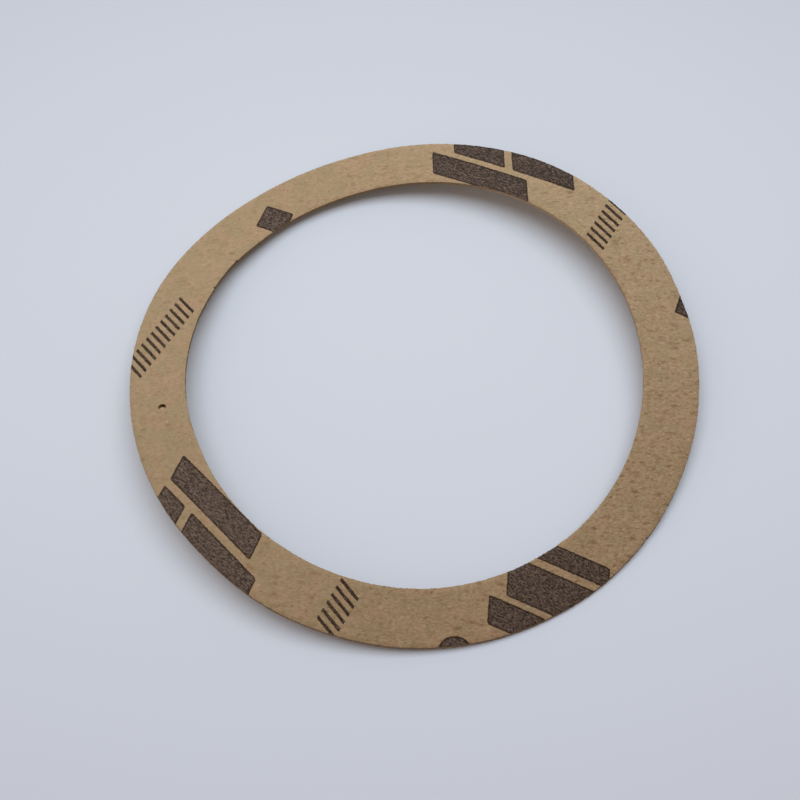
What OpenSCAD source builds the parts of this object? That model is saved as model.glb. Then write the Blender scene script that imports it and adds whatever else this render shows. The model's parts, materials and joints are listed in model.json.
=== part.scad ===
// Paper shim: a plain ring cut from one sheet of brown gasket paper.
// The sheet has kept a curl, so the ring lies as a low arch on two ends of its outer edge.
// The crest of the arch runs along X, and the sheet bends down towards +Y and -Y.
// Origin: on the axis of the ring, at the level of the surface it lies on. Z is up, sizes are in mm.

/* [Ring] */
// Diameter of the hole, seen from above
bore_d = 80; // [40:1:160]
// Width of the paper band, from the hole to the outer edge
band_w = 10; // [4:0.5:30]
// Thickness of the paper
paper_t = 0.8; // [0.15:0.05:1.5]

/* [Curl] */
// Radius of the curl, to the underside of the paper
curl_r = 198; // [120:1:600]

/* [Cut marks] */
// Depth of a nick where two strokes of the cutter meet
nick_depth = 0.3; // [0.1:0.05:0.6]
// Width of a nick along the edge
nick_w = 0.5; // [0.2:0.05:1.2]
// Width of the small dent in the upper face
dent_w = 1.2; // [0.6:0.1:2]
// Depth of the small dent, as a share of the paper's thickness
dent_share = 0.4; // [0.2:0.05:0.7]

/* [Hidden] */
$fn = 180;

inner_r = bore_d / 2;
outer_r = inner_r + band_w;

// How far the underside of the crest stands above the surface
rise = curl_r - sqrt(pow(curl_r, 2) - pow(outer_r, 2));
// Height of the line that the paper curls round, which lies under that surface
curl_axis_z = rise - curl_r;

// How far a cutting shape runs past the paper, so that no two faces coincide
overcut = 1;
// Height of the upright cuts, and width of the uncut sheet along X
cut_h = rise + paper_t + 2 * overcut;
sheet_w = 2 * (outer_r + overcut);

// Angles round the ring, from +X towards +Y
inner_nick_angles = [111, 121];
outer_nick_angles = [-63, -71];
dent_angle = 157;

// How far across the band the dent lies, from the hole, as a share of the band's width
dent_across = 0.42;
dent_at_r = inner_r + dent_across * band_w;

// The dent is the mark of a ball pressed into the paper
dent_depth = dent_share * paper_t;
dent_ball_r = (pow(dent_w / 2, 2) + pow(dent_depth, 2)) / (2 * dent_depth);

// Height of the upper face of the paper, at a distance y from the crest
function upper_face_z(y) = curl_axis_z + sqrt(pow(curl_r + paper_t, 2) - pow(y, 2));

// The whole sheet, bent round a line along X
module curled_sheet() {
    translate([0, 0, curl_axis_z])
        rotate([0, 90, 0])
            difference() {
                cylinder(r = curl_r + paper_t, h = sheet_w, center = true);
                cylinder(r = curl_r, h = sheet_w + 2 * overcut, center = true);
            }
}

// What the two round cuts leave of the sheet
module ring_cut() {
    difference() {
        translate([0, 0, -overcut])
            cylinder(r = outer_r, h = cut_h);
        translate([0, 0, -2 * overcut])
            cylinder(r = inner_r, h = cut_h + 2 * overcut);
    }
}

// One V-shaped nick in an edge of radius edge_r, its tip pointing into the paper
module nick(edge_r, angle, inward) {
    tip = edge_r - inward * nick_depth;
    mouth = edge_r + inward * nick_depth;
    rotate([0, 0, angle])
        translate([0, 0, -overcut])
            linear_extrude(height = cut_h)
                polygon([[tip, 0], [mouth, nick_w], [mouth, -nick_w]]);
}

// The small dent in the upper face
module dent() {
    across = dent_at_r * sin(dent_angle);
    along = dent_at_r * cos(dent_angle);
    translate([along, across, upper_face_z(across) + dent_ball_r - dent_depth])
        sphere(r = dent_ball_r);
}

module paper_shim() {
    color("tan")
        difference() {
            intersection() {
                curled_sheet();
                ring_cut();
            }
            for (angle = inner_nick_angles)
                nick(inner_r, angle, -1);
            for (angle = outer_nick_angles)
                nick(outer_r, angle, 1);
            dent();
        }
}

paper_shim();
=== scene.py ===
# %% [markdown]
# # A paper shim, dressed for its portrait
# The part is one flat ring cut from brown gasket paper. It has kept a curl from its roll, so it lies
# as a low arch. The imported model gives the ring's true size and place. Here it gets what a packed
# solid lacks: the fuzz of a cut paper edge, the felt of the fibres, the print on one face and soft light.

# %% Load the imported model
import json
import math
import bpy
import numpy as np
from mathutils import Matrix, Vector, noise


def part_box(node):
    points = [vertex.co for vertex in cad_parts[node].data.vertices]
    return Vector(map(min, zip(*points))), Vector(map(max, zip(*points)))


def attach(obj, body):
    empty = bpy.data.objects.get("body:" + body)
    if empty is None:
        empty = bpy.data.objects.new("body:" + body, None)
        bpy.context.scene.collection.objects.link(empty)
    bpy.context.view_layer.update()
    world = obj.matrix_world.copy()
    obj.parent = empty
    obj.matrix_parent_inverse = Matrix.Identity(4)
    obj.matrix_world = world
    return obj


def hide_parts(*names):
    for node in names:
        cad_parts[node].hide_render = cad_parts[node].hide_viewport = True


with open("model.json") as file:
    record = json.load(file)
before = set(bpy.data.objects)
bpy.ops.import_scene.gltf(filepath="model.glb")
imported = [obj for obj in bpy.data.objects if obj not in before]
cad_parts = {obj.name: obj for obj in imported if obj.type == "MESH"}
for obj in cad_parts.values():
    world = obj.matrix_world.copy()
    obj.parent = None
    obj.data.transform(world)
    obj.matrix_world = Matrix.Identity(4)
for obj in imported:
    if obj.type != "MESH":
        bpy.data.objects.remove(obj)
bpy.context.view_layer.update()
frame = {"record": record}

MM = 0.001

# %% [markdown]
# ## Sizes
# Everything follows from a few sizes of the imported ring. Its box gives the outer radius and the height
# of the arch, the mount named bore gives the hole, and the mounts on the two faces lie one paper thickness
# apart. The curl is part of a circle, so its radius comes from the rise of the arch over half the ring:
# that way the new mesh bends just as the solid does.

# %% Read the ring's sizes from the frame
ring_low, ring_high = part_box("paper_shim")
mounts = {mount["name"]: mount for mount in frame["record"]["mounts"]}
outer_r = (ring_high.x - ring_low.x) / 2
bore_r = mounts["bore"]["dims"]["r_mm"] * MM
paper_t = mounts["upper_face"]["pos_m"][2] - mounts["lower_face"]["pos_m"][2]
rise = ring_high.z - ring_low.z - paper_t
curl_r = (outer_r**2 + rise**2) / (2 * rise)
curl_axis_z = rise - curl_r
print(f"outer radius {outer_r / MM:.2f} mm, hole radius {bore_r / MM:.2f} mm")
print(f"paper {paper_t / MM:.2f} mm thick, curl radius {curl_r / MM:.1f} mm")

# %% [markdown]
# ## Camera
# The photograph was taken from in front and well above, a little turned. The camera looks at a point on
# the surface inside the ring. Its angles are measured on the ellipses that the ring's two edges draw,
# and its distance from how much larger the near half of the ring looks than the far half.

# %% Place the camera
VIEW_AZIMUTH = math.radians(-31.7)
VIEW_ELEVATION = math.radians(63.34)
VIEW_ROLL = math.radians(-1.83)
VIEW_DISTANCE = 264.25 * MM
VIEW_TARGET = Vector((-4.15, -1.79, 0.515)) * MM
LENS = 67.06
SENSOR_WIDTH = 36
camera_data = bpy.data.cameras.new("portrait_camera")
camera_data.lens = LENS
camera_data.sensor_width = SENSOR_WIDTH
camera = bpy.data.objects.new("portrait_camera", camera_data)
bpy.context.scene.collection.objects.link(camera)
bpy.context.scene.camera = camera
towards_camera = Vector((
    math.sin(VIEW_AZIMUTH) * math.cos(VIEW_ELEVATION),
    -math.cos(VIEW_AZIMUTH) * math.cos(VIEW_ELEVATION),
    math.sin(VIEW_ELEVATION),
))
turn = (-towards_camera).to_track_quat("-Z", "Y").to_matrix() @ Matrix.Rotation(VIEW_ROLL, 3, "Z")
camera.matrix_world = Matrix.Translation(VIEW_TARGET + towards_camera * VIEW_DISTANCE) @ turn.to_4x4()
print("camera at", [round(c / MM, 1) for c in camera.matrix_world.translation], "mm")

# %% [markdown]
# ## The flat ring
# A shim like this is stamped or cut out of a flat sheet, so the mesh starts flat too. A circle of the
# outer size is extruded inwards, ring after ring, until it reaches the hole. Many short sides along the
# edge leave room for a fuzzy cut later, while a few rows across the band are enough for the bend.

# %% Draw the outer edge and extrude it inwards to the hole
EDGE_SIDES = 2160
BAND_ROWS = 11
bpy.ops.object.select_all(action="DESELECT")
bpy.ops.mesh.primitive_circle_add(vertices=EDGE_SIDES, radius=outer_r, fill_type="NOTHING")
ring = bpy.context.active_object
ring.name = "paper_ring"
ring.data.name = "paper_ring"
bpy.ops.object.mode_set(mode="EDIT")
bpy.ops.mesh.select_mode(type="EDGE")
bpy.ops.mesh.select_all(action="SELECT")
row_radii = np.linspace(outer_r, bore_r, BAND_ROWS + 1)
for wider, narrower in zip(row_radii, row_radii[1:]):
    shrink = narrower / wider
    bpy.ops.mesh.extrude_region()
    bpy.ops.transform.resize(value=(shrink, shrink, 1), center_override=(0, 0, 0))
print("flat ring:", len(row_radii), "circles of", EDGE_SIDES, "points")

# %% Give the sheet its thickness, in three steps down the cut edge
WALL_ROWS = 3
down = (0, 0, -paper_t / WALL_ROWS)
bpy.ops.mesh.select_mode(type="FACE")
bpy.ops.mesh.select_all(action="SELECT")
for step in range(WALL_ROWS):
    bpy.ops.mesh.extrude_region_move(TRANSFORM_OT_translate={"value": down})
bpy.ops.mesh.select_all(action="SELECT")
bpy.ops.mesh.normals_make_consistent(inside=False)
bpy.ops.object.mode_set(mode="OBJECT")
print("solid sheet:", len(ring.data.polygons), "faces")

# %% Break the sharp arris of the cut with a small bevel
ARRIS = 0.04 * MM
arris = ring.modifiers.new("arris", "BEVEL")
arris.width = ARRIS
arris.segments = 2
arris.limit_method = "ANGLE"
bpy.ops.object.modifier_apply(modifier=arris.name)
print("with its arris broken:", len(ring.data.polygons), "faces")

# %% [markdown]
# ## A finer patch for the small pit
# One spot on the band was poked, and a crescent of paper is pushed in there. The rows of the ring are too
# wide for it, so the edges that run across the band near that spot are cut into eight. Only the upper face
# needs this.

# %% Subdivide the rows round the pit
PIT_ANGLE = math.radians(157.2)
PIT_R = 44.23 * MM
PIT_REACH = 1.6 * MM
PIT_CUTS = 7
FACE_SLACK = 0.001 * MM
LEAST_ROW = 0.3 * MM
pit_centre = np.array((PIT_R * math.cos(PIT_ANGLE), PIT_R * math.sin(PIT_ANGLE)))


def points_of(piece):
    """The piece's vertices as an array of x, y and z."""
    flat = np.empty(len(piece.data.vertices) * 3)
    piece.data.vertices.foreach_get("co", flat)
    return flat.reshape(-1, 3)


points = points_of(ring)
near_pit = np.hypot(*(points[:, :2] - pit_centre).T) < PIT_REACH
near_pit &= points[:, 2] > -FACE_SLACK
radii = np.hypot(points[:, 0], points[:, 1])
ends = np.array([edge.vertices[:] for edge in ring.data.edges])
across = np.abs(radii[ends[:, 0]] - radii[ends[:, 1]]) > LEAST_ROW
chosen = across & near_pit[ends].any(axis=1) & (points[ends][:, :, 2].min(axis=1) > -FACE_SLACK)
bpy.ops.object.mode_set(mode="EDIT")
bpy.ops.mesh.select_mode(type="EDGE")
bpy.ops.mesh.select_all(action="DESELECT")
bpy.ops.object.mode_set(mode="OBJECT")
ring.data.edges.foreach_set("select", chosen)
bpy.ops.object.mode_set(mode="EDIT")
bpy.ops.mesh.subdivide(number_cuts=PIT_CUTS)
bpy.ops.object.mode_set(mode="OBJECT")
print("edges cut for the pit:", int(chosen.sum()))

# %% [markdown]
# ## The cut edge
# Paper never cuts as clean as metal. The two edges wander by a few tenths of a millimetre, their fibres
# stand out as fuzz, and a small nick shows where two strokes of the cutter meet. The wander is a sum of
# waves round the ring, with swells where the photograph shows them. A smooth weight lets each point follow
# the edge that is near it, so the middle of the band stays calm.

# %% Let the edges wander, fray and show their nicks
INNER_NICKS = (110.6, 120.9)
OUTER_NICKS = (-63.4, -71.4)
NICK_DEPTH = 0.3 * MM
NICK_HALF_WIDTH = 0.3 * MM
EDGE_REACH = 2.2 * MM
FRAY_REACH = 0.5 * MM
BETWEEN_NICKS = 0.12 * MM
# each layer of fuzz as its size and the width of its lumps, in mm, then its seed
FRAY = ((0.075, 0.55, 1), (0.05, 0.2, 2))
# one number for the whole edge, then waves as count, size and degrees of the crest, then swells as degrees,
# half width in degrees and size: all sizes are changes of the radius in mm
INNER_DRIFT = 0.075
OUTER_DRIFT = -0.245
INNER_WAVES = (
    (1, 0.105, -45), (2, 0.045, -158), (3, 0.03, -66), (5, 0.035, 22), (9, 0.02, 30), (17, 0.015, 80),
)
OUTER_WAVES = (
    (2, 0.13, -20), (3, 0.02, -127), (4, 0.12, 145), (5, 0.1, -127), (9, 0.02, 10), (17, 0.015, -60),
)
INNER_SWELLS = ((170, 8, -0.2), (112, 6, 0.1))
OUTER_SWELLS = ((-168, 12, -0.42), (40, 10, -0.2), (-18, 7, -0.2))


def smooth(low, high, value):
    """0 below low, 1 above high, and a soft S between them."""
    share = np.clip((value - low) / (high - low), 0, 1)
    return share * share * (3 - 2 * share)


def bump(angle, degrees, half_width):
    """1 at one angle round the ring, falling to 0 on both sides of it."""
    aside = np.degrees(np.angle(np.exp(1j * (angle - math.radians(degrees)))))
    return np.exp(-((aside / half_width) ** 2))


def wander(angle, drift, waves, swells):
    """How far a hand-led cutter strays from the true circle."""
    stray = drift + sum(size * np.cos(count * angle - math.radians(crest)) for count, size, crest in waves)
    return (stray + sum(size * bump(angle, degrees, width) for degrees, width, size in swells)) * MM


def grain(places, size, seed):
    """Noise at the given places, whose lumps are about size across."""
    offset = Vector((seed * 7.3, seed * 3.1, seed * 5.9))
    return np.array([noise.noise(Vector(place) / size + offset) for place in places])


def nicks(angle, radius, at_degrees):
    """How deep the nicks cut into an edge of this radius, at each angle."""
    depth = np.zeros_like(angle)
    for degrees in at_degrees:
        along = np.abs(np.angle(np.exp(1j * (angle - math.radians(degrees))))) * radius
        depth = np.maximum(depth, NICK_DEPTH * np.clip(1 - along / NICK_HALF_WIDTH, 0, 1))
    return depth


points = points_of(ring)
radii = np.hypot(points[:, 0], points[:, 1])
angles = np.arctan2(points[:, 1], points[:, 0])
by_outer = 1 - smooth(0, EDGE_REACH, outer_r - radii)
by_inner = 1 - smooth(0, EDGE_REACH, radii - bore_r)
to_edge = np.minimum(outer_r - radii, radii - bore_r)
at_cut = 1 - smooth(0, FRAY_REACH, to_edge)
frayed = np.flatnonzero(at_cut > 0)
fray = np.zeros(len(points))
fray[frayed] = sum(size * MM * grain(points[frayed], lump * MM, seed) for size, lump, seed in FRAY)
between_nicks = (angles > math.radians(INNER_NICKS[0])) & (angles < math.radians(INNER_NICKS[1]))
outer_stray = wander(angles, OUTER_DRIFT, OUTER_WAVES, OUTER_SWELLS) - nicks(angles, outer_r, OUTER_NICKS)
inner_stray = wander(angles, INNER_DRIFT, INNER_WAVES, INNER_SWELLS) + nicks(angles, bore_r, INNER_NICKS)
inner_stray += between_nicks * BETWEEN_NICKS
radii = radii + by_outer * outer_stray + by_inner * inner_stray + at_cut * fray
points[:, 0] = radii * np.cos(angles)
points[:, 1] = radii * np.sin(angles)
print(f"outer edge out to {radii.max() / MM:.2f} mm, hole in to {radii.min() / MM:.2f} mm from the axis")

# %% [markdown]
# ## The pit
# The poke went in steeply on the far side and comes up as a ramp on the near side, so it shows as a dark
# crescent with a lit spot in it. Seen from above it is a round hollow, with its deepest line along the far
# rim and a small raised lip on the near side.

# %% Press the pit into the upper face
PIT_RADIUS = 0.8 * MM
PIT_DEPTH = 0.34 * MM
LIP_HEIGHT = 0.05 * MM
LIP_RADIUS = 1.15 * PIT_RADIUS
LIP_WIDTH = 0.2 * PIT_RADIUS
FAR_SIDE = np.array((math.sin(-VIEW_AZIMUTH), math.cos(VIEW_AZIMUTH)))
away = points[:, :2] - pit_centre
from_centre = np.hypot(away[:, 0], away[:, 1])
towards_far = away @ FAR_SIDE / PIT_RADIUS
wall = 1 - smooth(0.72 * PIT_RADIUS, PIT_RADIUS, from_centre)
ramp = smooth(-0.7, 0.75, towards_far)
on_top = points[:, 2] > -FACE_SLACK
lip = np.exp(-(((from_centre - LIP_RADIUS) / LIP_WIDTH) ** 2)) * smooth(0.3, -0.5, towards_far)
press = on_top * (LIP_HEIGHT * lip - PIT_DEPTH * wall * ramp)
print(f"pit pressed {-press.min() / MM:.2f} mm deep")

# %% [markdown]
# ## The curl
# Bending the flat sheet over a cylinder is the last step in shape. Seen from above the ring keeps its size,
# so each point only moves up or down. The real sheet is warped a little besides: parts of its far half stand
# some tenths of a millimetre higher than a true cylinder, parts of its near half lower. It sags in two
# places, where its edge comes closer to the surface and its shadow is narrow, and it ripples as paper does
# in moist air. At the end the whole ring is set down so that its lowest point touches the surface.

# %% Bend the sheet into its low arch
RIPPLE = 0.05 * MM
FAR_LIFT = 0.21 * MM
SMOOTH_BELOW = math.radians(40)
# degrees and half width of each sag, then its depth in mm at the hole and at the outer edge
SAGS = ((84, 24, 0.6, 0.0), (-128, 17, 0.3, 0.7))
share_down = -points[:, 2] / paper_t
upper_z = curl_axis_z + np.sqrt((curl_r + paper_t) ** 2 - points[:, 1] ** 2)
lower_z = curl_axis_z + np.sqrt(curl_r**2 - points[:, 1] ** 2)
plan = points * (1, 1, 0)
ripple = RIPPLE * (grain(plan, 17 * MM, 3) + 0.5 * grain(plan, 7 * MM, 4))
warp = FAR_LIFT * (np.sin(angles) + np.sin(3 * angles))
share_out = np.clip((radii - bore_r) / (outer_r - bore_r), 0, 1)
for degrees, half_width, at_hole, at_rim in SAGS:
    warp -= bump(angles, degrees, half_width) * (at_hole + (at_rim - at_hole) * share_out) * MM
points[:, 2] = upper_z + (lower_z - upper_z) * share_down + warp + ripple + press
points[:, 2] -= points[:, 2].min()
ring.data.vertices.foreach_set("co", points.ravel())
ring.data.update()
bpy.ops.object.shade_smooth_by_angle(angle=SMOOTH_BELOW)
triangles = sum(len(face.vertices) - 2 for face in ring.data.polygons)
print(f"arch {points[:, 2].max() / MM:.2f} mm high, {triangles} triangles")

# %% [markdown]
# ## Shader maths in plain Python
# The paper's finish is worked out by formulas, so a small class wraps a node's output. Adding or
# multiplying two of them makes a Math node. The method node makes every other kind: it takes the node's
# type, its settings, and what goes into its sockets.

# %% A socket that understands arithmetic
class Wire:
    """One output of a material's nodes. Python's operators on it add Math nodes."""

    def __init__(self, socket):
        self.socket = socket

    def node(self, kind, settings, sockets, output=0):
        tree = self.socket.id_data
        made = tree.nodes.new(kind)
        for name, value in settings.items():
            setattr(made, name, value)
        for name, value in sockets.items():
            if isinstance(value, Wire):
                tree.links.new(value.socket, made.inputs[name])
            else:
                made.inputs[name].default_value = value
        return Wire(made.outputs[output])

    def math(self, operation, *values):
        return self.node("ShaderNodeMath", {"operation": operation}, dict(enumerate(values)))

    def __add__(self, other):
        return self.math("ADD", self, other)

    __radd__ = __add__

    def __sub__(self, other):
        return self.math("SUBTRACT", self, other)

    def __rsub__(self, other):
        return self.math("SUBTRACT", other, self)

    def __mul__(self, other):
        return self.math("MULTIPLY", self, other)

    __rmul__ = __mul__

    def __truediv__(self, other):
        return self.math("DIVIDE", self, other)

    def __abs__(self):
        return self.math("ABSOLUTE", self)

    def least(self, other):
        return self.math("MINIMUM", self, other)

    def most(self, other):
        return self.math("MAXIMUM", self, other)

    def fade(self, start, end):
        """0 at start, 1 at end, with a soft S between. Start may be the larger."""
        sockets = {"Value": self, "From Min": start, "From Max": end}
        return self.node("ShaderNodeMapRange", {"interpolation_type": "SMOOTHSTEP"}, sockets)

    def parts(self):
        """The x and y of a place, as two wires."""
        split = self.node("ShaderNodeSeparateXYZ", {}, {"Vector": self})
        return split, Wire(split.socket.node.outputs[1])

    def noise(self, per_mm, detail=2.0, roughness=0.5):
        sockets = {"Vector": self, "Scale": per_mm, "Detail": detail, "Roughness": roughness}
        return self.node("ShaderNodeTexNoise", {}, sockets)

    def placed(self, centre, degrees, stretch=(1, 1, 1)):
        """The same place, measured from a centre and turned along a direction."""
        turned = (0, 0, math.radians(degrees))
        sockets = {"Vector": self, "Location": (*centre, 0), "Rotation": turned, "Scale": stretch}
        return self.node("ShaderNodeMapping", {"vector_type": "TEXTURE"}, sockets)

    def blend(self, first, second):
        """A colour between two others, by this share of the second."""
        settings = {"data_type": "RGBA"}
        return self.node("ShaderNodeMix", settings, {0: self, 6: first, 7: second}, output=2)


def srgb(red, green, blue):
    """A colour as a picture shows it, from 0 to 255, turned into light."""
    shares = [channel / 255 for channel in (red, green, blue)]
    return (*[s / 12.92 if s <= 0.04045 else ((s + 0.055) / 1.055) ** 2.4 for s in shares], 1)


print("shader maths ready")

# %% [markdown]
# ## The paper
# Gasket paper is pressed from wood and rag fibres soaked in oil or glue. Close up it is a felt: a tan
# ground with cloudy patches, short dark flecks of bark, pale specks, and single fibres that curl across the
# face. Stretched cells of a Voronoi texture make the flecks. A fibre is drawn where a noise crosses its
# middle value: that line is thin, long and curly, and a second noise breaks it into pieces. Some of this
# changes slowly across the ring: one side is more flecked and one paler, and the near side is painted darker
# as painted shade. The names ending in side are the directions of those places, in degrees.

# %% Helpers for flecks and fibres
TAN_PINK = srgb(166, 139, 111)
TAN_OLIVE = srgb(155, 136, 105)
TAN_DARK = srgb(141, 114, 84)
FLECK = srgb(112, 79, 50)
# pale specks of the felt, also used for the painted highlight in the pit
SPECK_AND_HIGHLIGHT = srgb(186, 165, 135)
FLECKED_SIDE = -40
# the near side, where the paper is painted darker as painted shade
PAINTED_SHADE_SIDE = -100
PALE_SIDE = 5


def flecks(place, per_mm, degrees, length, share, size):
    """Short soft specks in random places: up to 1 in the middle of a speck and 0 outside."""
    turned = place.placed((0, 0), degrees, (length, 1, 1))
    cells = turned.node("ShaderNodeTexVoronoi", {}, {"Vector": turned, "Scale": per_mm})
    lot = Wire(cells.socket.node.outputs["Color"]).parts()[0]
    return cells.fade(size, 0.1 * size) * lot.fade(1 - share, 1.05)


def fibres(place, per_mm, degrees, length, width, seed):
    """Thin curly lines: 1 along a fibre and 0 beside it."""
    turned = place.placed((seed * 13.0, seed * 7.0), degrees, (length, 1, 1))
    line = abs(turned.noise(per_mm, 1.0) - 0.5).fade(width, 0)
    return line * turned.noise(0.45 * per_mm, 0.0).fade(0.5, 0.62)


def ruffled(place, per_mm, amount):
    """The same place pushed about by a noise, so that what is drawn there gets ragged."""
    push = Wire(place.noise(per_mm).socket.node.outputs["Color"])
    push = push.node("ShaderNodeVectorMath", {"operation": "SUBTRACT"}, {0: push, 1: (0.5, 0.5, 0.5)})
    push = push.node("ShaderNodeVectorMath", {"operation": "SCALE"}, {0: push, "Scale": amount})
    return push.node("ShaderNodeVectorMath", {"operation": "ADD"}, {0: place, 1: push})


print("the paper's two tans, as light:", *([round(c, 3) for c in tan[:3]] for tan in (TAN_PINK, TAN_OLIVE)))

# %% The felt, as a colour and a height
def felt(place):
    """The bare paper: its colour, its relief and its fine grain."""
    ragged = ruffled(place, 2.2, 0.7)
    tint = place.noise(0.35, 2.0)
    patches = place.noise(1.3, 3.0, 0.6)
    fine = place.placed((0, 0), -32, (2.2, 1, 1)).noise(3.4, 2.0, 0.65)
    dark = flecks(ragged, per_mm=1.15, degrees=-38, length=2.5, share=0.4, size=0.58)
    dark = dark.most(flecks(ragged, per_mm=1.6, degrees=-18, length=2.3, share=0.42, size=0.58))
    dark = dark.most(flecks(ragged, per_mm=2.2, degrees=-50, length=2.1, share=0.5, size=0.6) * 0.9)
    sparse = flecks(ragged, per_mm=0.75, degrees=-30, length=1.6, share=0.16, size=0.42)
    pale = flecks(ragged, per_mm=1.9, degrees=-30, length=2.2, share=0.4, size=0.56)
    hairs = fibres(place, per_mm=0.8, degrees=12, length=2.5, width=0.02, seed=1)
    hairs = hairs.most(fibres(place, per_mm=0.9, degrees=-52, length=2.5, width=0.018, seed=2))
    pale_hairs = fibres(place, per_mm=0.85, degrees=70, length=2.4, width=0.016, seed=3)
    side = place.placed((0, 0), FLECKED_SIDE).parts()[0].fade(-45, 40)
    # painted shade: the paper is painted darker towards the near side, which the lamp behind lights less
    painted_shade = place.placed((0, 0), PAINTED_SHADE_SIDE).parts()[0].fade(-20, 45)
    paler_share = place.placed((0, 0), PALE_SIDE).parts()[0].fade(20, 48)
    flecked = side * 0.6 + 0.4
    colour = tint.fade(0.3, 0.7).blend(TAN_OLIVE, TAN_PINK)
    colour = (patches.fade(0.55, 0.3) * 0.35 + painted_shade * 0.13).blend(colour, TAN_DARK)
    colour = (fine.fade(0.55, 0.28) * (side * 0.45 + 0.32)).blend(colour, TAN_DARK)
    colour = (fine.fade(0.5, 0.75) * (side * 0.2 + 0.24)).blend(colour, SPECK_AND_HIGHLIGHT)
    colour = (dark * flecked * 0.8).blend(colour, FLECK)
    colour = (sparse * 0.55).blend(colour, FLECK)
    colour = (hairs * flecked * 0.35).blend(colour, FLECK)
    colour = (pale * flecked * 0.6).blend(colour, SPECK_AND_HIGHLIGHT)
    colour = (pale_hairs * 0.25).blend(colour, SPECK_AND_HIGHLIGHT)
    colour = (paler_share * 0.12).blend(colour, SPECK_AND_HIGHLIGHT)
    relief = fine * 0.5 + patches * 0.4 + hairs * 0.2 + pale_hairs * 0.2 - dark * 0.2
    return colour, relief, fine


print("felt ready")

# %% [markdown]
# ## The print
# One face of the sheet was printed with dark brown ink before the ring was cut, so the ring shows only
# pieces of the design, cut off at its edges. The design here is plain: heavy slanted slabs laid like bricks,
# a dot, and rows of fine hatching. Each mark is a distance to a simple shape, in millimetres, and the nearest
# one counts. The ink is darker along the rim of a mark, where the plate squeezed it out, and thin on the
# fibres. It is a little thinner on one side of the ring than on the other, as if the plate pressed less
# there.

# %% Distances to slabs, dots and hatching
ROUNDING = 0.7
HATCH_STEP = 1.45
HATCH_W = 0.62
HATCH_H = 4.2
HATCH_SLANT = 0.35


def slab(along, aside, length, width, middle, line, slant):
    """Distance to a slab with slanted ends and rounded corners, below 0 inside it."""
    leaning = along - middle + (aside - line) * slant
    return along.math("SMOOTH_MAX", abs(leaning) - length / 2, abs(aside - line) - width / 2, ROUNDING)


def dot(place, centre, radius):
    """Distance to a round dot."""
    along, aside = place.placed(centre, 0).parts()
    square = along * along + aside * aside
    return square.math("SQRT", square) - radius


def hatching(place, centre, degrees, length):
    """Distance to a row of fine slanted strokes."""
    along, up = place.placed(centre, degrees).parts()
    leaning = along - up * HATCH_SLANT
    steps = leaning / HATCH_STEP
    stroke = abs(steps.math("FRACT", steps) - 0.5) * HATCH_STEP - HATCH_W / 2
    return stroke.most(abs(up) - HATCH_H / 2).most(abs(leaning) - length / 2)


print("print marks ready")

# %% Where the marks lie on the ring
HATCH_DEGREES = 26
# radius and degrees of the patch, its direction, then each slab's length, width, middle, line and slant
PATCHES = (
    (45.5, 37, 121, (
        (19.5, 5.0, 1.5, 3.3, 0.5), (12.5, 5.0, -8.6, -2.8, 0.5), (10.5, 5.0, 4.4, -2.8, 0.5),
    )),
    (45.0, 187, 101, (
        (16.0, 5.0, -6.0, 3.5, 0.4), (5.4, 5.0, 6.2, 3.5, 0.4), (20.0, 4.6, 1.0, -2.6, 0.4),
    )),
    (45.2, -92, 125, (
        (16.0, 6.6, 0.0, 2.0, 0.3), (16.0, 3.4, 0.0, -4.2, 0.3), (10.0, 4.6, 4.0, 8.5, 0.3),
    )),
    (42.2, 94.6, 121, ((5.8, 5.4, 0.0, 0.0, 0.1),)),
    (50.6, -20, 121, ((4.6, 4.6, 0.0, 0.0, 0.1),)),
)
# radius and degrees of each dot and its size, then the same for each row of hatching and its length
DOTS = ((51.0, -116, 3.0),)
DOT_GAP = 0.9
HATCH_ROWS = ((45.6, 138, 17.4), (46.2, 6, 11.6), (45.4, -139.4, 8.7))


def at(radius, degrees):
    """A place on the ring, in mm."""
    angle = math.radians(degrees)
    return radius * math.cos(angle), radius * math.sin(angle)


def nearest_of(marks):
    """The smallest of several distances."""
    nearest = marks[0]
    for mark in marks[1:]:
        nearest = nearest.least(mark)
    return nearest


def print_distance(place):
    """Distance to the nearest printed mark, in mm. The slabs keep clear of the dots."""
    slabs = []
    for radius, angle, degrees, shapes in PATCHES:
        along, aside = place.placed(at(radius, angle), degrees).parts()
        slabs += [slab(along, aside, *shape) for shape in shapes]
    dots = [dot(place, at(radius, angle), size) for radius, angle, size in DOTS]
    rows = [
        hatching(place, at(radius, angle), HATCH_DEGREES, length)
        for radius, angle, length in HATCH_ROWS
    ]
    nearest = nearest_of(slabs)
    for mark in dots:
        nearest = nearest.most(DOT_GAP - mark)
    return nearest_of([nearest, *dots, *rows])


print("patches of slabs:", len(PATCHES), "dots:", len(DOTS), "hatched rows:", len(HATCH_ROWS))

# %% [markdown]
# ## The three finishes
# The printed face, the bare underside and the cut edge are the same paper. The face carries ink, the
# underside none, and the cut edge shows the sheet's layers end-on: it is rougher and a little browner,
# because it takes up oil and dust. On one side of the hole the cut edge is painted paler: painted light,
# where that wall faces the brighter side of the room. All three read object coordinates, in millimetres.

# %% Start a finish and end it
INK = srgb(49, 38, 31)
INK_THIN = srgb(109, 92, 81)
INK_RIM = srgb(40, 24, 8)
THIN_SIDE = 190
THINNING = 0.00054
CUT_BROWN = srgb(122, 100, 78)
CUT_PALE = srgb(152, 131, 106)
# painted light: a paler colour for the inner cut wall on the side that faces the brighter side of the room
CUT_PAINTED_LIGHT = srgb(170, 146, 120)
PAINTED_LIGHT_SIDE = -15
BACK_TAN = srgb(178, 146, 103)
# painted shade for the pit's far crescent
PIT_SHADE = srgb(50, 22, 2)
PAPER_SHINE = 0.07
FELT_DEPTH = 0.05
CUT_DEPTH = 0.06


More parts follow.
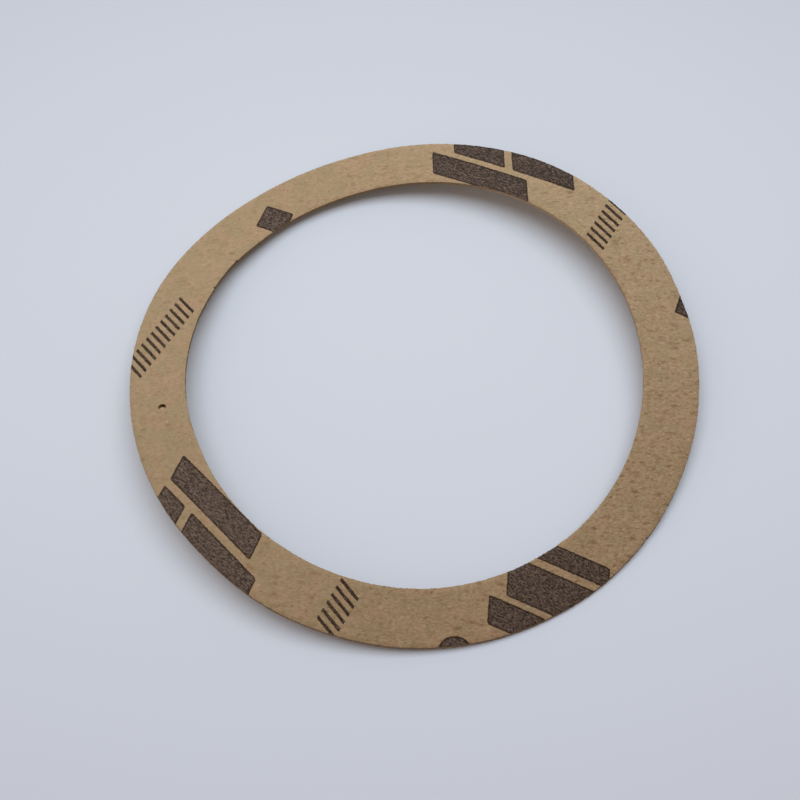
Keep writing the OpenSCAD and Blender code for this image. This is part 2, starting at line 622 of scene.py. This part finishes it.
def reach(place):
    """How far a place lies from the middle, seen from above."""
    x, y = place.parts()
    square = x * x + y * y
    return square.math("SQRT", square)


def new_finish(name):
    """A fresh material with one shader, and the place on the piece in mm."""
    material = bpy.data.materials.new(name)
    material.use_nodes = True
    nodes = material.node_tree.nodes
    shader = nodes["Principled BSDF"]
    shader.inputs["Specular IOR Level"].default_value = PAPER_SHINE
    seat = Wire(nodes.new("ShaderNodeTexCoord").outputs["Object"])
    scaled = {0: seat, "Scale": 1 / MM}
    return material, shader, seat.node("ShaderNodeVectorMath", {"operation": "SCALE"}, scaled)


def wire_up(shader, colour, roughness, relief, depth_mm):
    """Joins a finish's colour, roughness and relief to its shader."""
    links = shader.id_data.links
    raised = {"Strength": 1.0, "Distance": depth_mm * MM, "Height": relief}
    tilt = relief.node("ShaderNodeBump", {}, raised)
    links.new(colour.socket, shader.inputs["Base Color"])
    links.new(roughness.socket, shader.inputs["Roughness"])
    links.new(tilt.socket, shader.inputs["Normal"])


print("finishes can be started; materials so far:", len(bpy.data.materials))

# %% The felt and the ink of the printed face
printed_face, shader, place = new_finish("printed_face")
colour, relief, fine = felt(place)
spread = place.noise(2.3, 3.0, 0.75)
distance = print_distance(place) + (spread - 0.5) * 0.45
inked = distance.fade(0.06, -0.08)
rim = distance.fade(-0.42, -0.16) * inked * (spread.fade(0.35, 0.6) * 0.5 + 0.5)
strokes = place.placed((0, 0), 112, (3.0, 1, 1)).noise(4.4, 2.0, 0.6)
mottle = (place.noise(3.6, 3.0, 0.7) + strokes) * 0.5
thinner = place.placed((0, 0), THIN_SIDE).parts()[0] * THINNING
ink_colour = (mottle + thinner).fade(0.406, 0.626).blend(INK, INK_THIN)
ink_colour = (rim * 0.9).blend(ink_colour, INK_RIM)
coverage = inked * (1 - mottle.fade(0.56, 0.68) * 0.15)
colour = coverage.blend(colour, ink_colour)
print("ink laid on the felt:", len(printed_face.node_tree.nodes), "nodes")

# %% Painted shade and a painted lit spot in the pit
torn = ruffled(place, 2.6, 0.4)
pit_along, pit_aside = torn.placed(pit_centre / MM, math.degrees(VIEW_AZIMUTH) + 90).parts()
pit_seat = place.node("ShaderNodeCombineXYZ", {}, {"X": pit_along, "Y": pit_aside})
pit_reach = pit_seat.node("ShaderNodeVectorMath", {"operation": "LENGTH"}, {0: pit_seat}, output=1)
# painted shade: the pit's far crescent, where its steep wall faces away from the lamp, is painted dark brown
pit_shade = abs(pit_reach - 0.5).fade(0.34, 0.1) * (pit_along + pit_aside * 0.2).fade(-0.5, 0.5)
# painted highlight: the pit's near ramp, which faces the lamp behind, is painted pale
lit_spot = pit_reach.fade(0.42, 0.1) * pit_along.fade(0.1, -0.25)
colour = (lit_spot * 0.6).blend(colour, SPECK_AND_HIGHLIGHT)
colour = (pit_shade * 0.96).blend(colour, PIT_SHADE)
wire_up(shader, colour, 0.82 - inked * 0.14 + (fine - 0.5) * 0.2, relief - inked * 0.08, FELT_DEPTH)
print("printed face:", len(printed_face.node_tree.nodes), "nodes")

# %% The bare underside
BACK_SHARE = 0.35
bare_back, shader, place = new_finish("bare_back")
colour, relief, fine = felt(place.placed((31, -17), 0))
tanned = {0: BACK_SHARE, 6: colour, 7: BACK_TAN}
colour = place.node("ShaderNodeMix", {"data_type": "RGBA"}, tanned, output=2)
wire_up(shader, colour, 0.84 + (fine - 0.5) * 0.2, relief, FELT_DEPTH)
print("bare underside:", len(bare_back.node_tree.nodes), "nodes")

# %% The cut edge
cut_edge, shader, place = new_finish("cut_edge")
layers = place.node("ShaderNodeMapping", {}, {"Vector": place, "Scale": (1.2, 1.2, 9.0)})
streaks = layers.noise(1.6, 3.0, 0.6)
fuzz = place.noise(6.0, 2.0)
colour = streaks.fade(0.35, 0.8).blend(CUT_BROWN, CUT_PALE)
# painted light: the inner cut wall on one side of the hole, facing the brighter side of the room, is painted
# paler
painted_light = place.placed((0, 0), PAINTED_LIGHT_SIDE).parts()[0].fade(14, 34) * reach(place).fade(46, 43)
colour = painted_light.blend(colour, CUT_PAINTED_LIGHT)
colour = (fuzz.fade(0.6, 0.3) * 0.3).blend(colour, FLECK)
wire_up(shader, colour, 0.9 + (fuzz - 0.5) * 0.1, streaks * 0.6 + fuzz * 0.4, CUT_DEPTH)
print("cut edge:", len(cut_edge.node_tree.nodes), "nodes")

# %% Give each face of the ring its finish
PRINTED, BACK, CUT = range(3)
FACING = 0.6
for finish in (printed_face, bare_back, cut_edge):
    ring.data.materials.append(finish)
normals_z = np.array([face.normal.z for face in ring.data.polygons])
choice = np.where(normals_z > FACING, PRINTED, np.where(normals_z < -FACING, BACK, CUT))
middles = np.array([face.center[:2] for face in ring.data.polygons])
in_pit = np.hypot(*(middles - pit_centre).T) < PIT_REACH
choice[in_pit & (choice == CUT)] = PRINTED
ring.data.polygons.foreach_set("material_index", choice.astype(np.int32))
ring.data.update()
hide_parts("paper_shim")
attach(ring, "root")
print("faces printed, bare and cut:", [int((choice == kind).sum()) for kind in (PRINTED, BACK, CUT)])

# %% [markdown]
# ## Surface and light
# The ring lies on a plain pale surface of cool grey, painted a little brighter in a wide pool round the ring
# as a pool of painted light. A broad oval lamp hangs nearly overhead, across the view. It lights the surface
# alone and gives it its soft shadows: they are softer to the left and right of the paper than in front of it
# and behind it. A second lamp stands lower behind the ring and lights the paper alone, which makes the far
# half of the arch brighter than the near half. The room fills in the rest with a warmer light, so the shadows
# are warm. It is brighter on the left than on the right, as beside a window. Lamp and room together show a
# colour about as it is written.

# %% The surface under the ring
SURFACE = srgb(208, 213, 223)
SURFACE_DIM = srgb(187, 188, 199)
SURFACE_SIZE = 6.0
SURFACE_DROP = 0.02 * MM
SURFACE_ROUGHNESS = 0.6
PAINTED_POOL_CENTRE = (4, 28)
PAINTED_POOL_REACH = 190
PAINTED_POOL_WIDENING = 1.5
FAR_FROM, FAR_TO = 250, 900
bpy.ops.object.select_all(action="DESELECT")
bpy.ops.mesh.primitive_plane_add(size=SURFACE_SIZE, location=(0, 0, -SURFACE_DROP))
surface = bpy.context.active_object
surface.name = "pale_surface"
pale, shader, place = new_finish("pale_surface")
# painted light: a wide pool round the ring is painted brighter, fading to the dim colour further out, in
# place of a lamp's fall-off
painted_pool = reach(place.placed(PAINTED_POOL_CENTRE, math.degrees(VIEW_AZIMUTH), (PAINTED_POOL_WIDENING, 1, 1)))
colour = painted_pool.fade(0, PAINTED_POOL_REACH).blend(SURFACE, SURFACE_DIM)
shader.id_data.links.new(colour.socket, shader.inputs["Base Color"])
shader.inputs["Roughness"].default_value = SURFACE_ROUGHNESS
print("surface", SURFACE_SIZE, "m wide")

# %% Far away the surface melts into the backdrop
pale_tree = pale.node_tree
glow = pale_tree.nodes.new("ShaderNodeEmission")
glow.inputs["Color"].default_value = SURFACE_DIM
seen = Wire(pale_tree.nodes.new("ShaderNodeLightPath").outputs["Is Camera Ray"])
far = reach(place).fade(FAR_FROM, FAR_TO) * seen
melt = {0: far, 1: Wire(shader.outputs["BSDF"]), 2: Wire(glow.outputs["Emission"])}
melted = far.node("ShaderNodeMixShader", {}, melt)
pale_tree.links.new(melted.socket, pale_tree.nodes["Material Output"].inputs["Surface"])
surface.data.materials.append(pale)
print("surface finish:", len(pale_tree.nodes), "nodes")

# %% Two soft lamps
ROOM_SHARE = 0.36
ROOM_TINT = (1.18, 0.98, 0.84)
LEVEL = 0.985


def soft_lamp(name, azimuth, elevation, distance, width, depth, turn, piece):
    """An oval lamp that lights one piece, at the level that shows its colour as it is."""
    data = bpy.data.lights.new(name, "AREA")
    data.shape = "ELLIPSE"
    data.size = width
    data.size_y = depth
    data.color = [(1 - ROOM_SHARE * tint) / (1 - ROOM_SHARE) for tint in ROOM_TINT]
    spread = math.hypot(distance, width / 2) * math.hypot(distance, depth / 2)
    data.energy = LEVEL * (1 - ROOM_SHARE) * math.pi**2 * spread / math.sin(math.radians(elevation))
    lamp = bpy.data.objects.new(name, data)
    bpy.context.scene.collection.objects.link(lamp)
    level = math.cos(math.radians(elevation))
    towards = Vector((
        math.cos(math.radians(azimuth)) * level,
        math.sin(math.radians(azimuth)) * level,
        math.sin(math.radians(elevation)),
    ))
    turned = towards.to_track_quat("Z", "Y").to_matrix() @ Matrix.Rotation(math.radians(turn), 3, "Z")
    lamp.matrix_world = Matrix.Translation(towards * distance) @ turned.to_4x4()
    lit = bpy.data.collections.new(f"lit_by_{name}")
    lit.objects.link(piece)
    lamp.light_linking.receiver_collection = lit
    print(f"{name}: {data.energy:.2f} W on {piece.name}")


soft_lamp(
    "overhead_lamp", azimuth=46, elevation=81.3, distance=1.5, width=2.3, depth=1.24, turn=19, piece=surface,
)
soft_lamp("back_lamp", azimuth=54, elevation=47, distance=0.8, width=0.5, depth=0.5, turn=0, piece=ring)

# %% The room
BRIGHT_AZIMUTH = math.radians(148)
BRIGHT_LEAN = 0.55
world = bpy.data.worlds.new("room")
world.use_nodes = True
bpy.context.scene.world = world
room = world.node_tree.nodes["Background"]
rays = Wire(world.node_tree.nodes.new("ShaderNodeLightPath").outputs["Is Camera Ray"])
glossy = Wire(rays.socket.node.outputs["Is Glossy Ray"])
outwards = Wire(world.node_tree.nodes.new("ShaderNodeTexCoord").outputs["Generated"])
bright_wall = (math.cos(BRIGHT_AZIMUTH), math.sin(BRIGHT_AZIMUTH), 0)
towards_wall = {0: outwards, 1: bright_wall}
facing = outwards.node("ShaderNodeVectorMath", {"operation": "DOT_PRODUCT"}, towards_wall, output=1)
room_colour = [ROOM_SHARE * tint for tint in ROOM_TINT]
leaning = {0: room_colour, "Scale": facing * BRIGHT_LEAN + 1}
room_light = facing.node("ShaderNodeVectorMath", {"operation": "SCALE"}, leaning)
shown = rays.most(glossy).blend(room_light, SURFACE_DIM)
world.node_tree.links.new(shown.socket, room.inputs["Color"])
bpy.context.scene.view_settings.view_transform = "Standard"
print("room share of the light:", ROOM_SHARE)
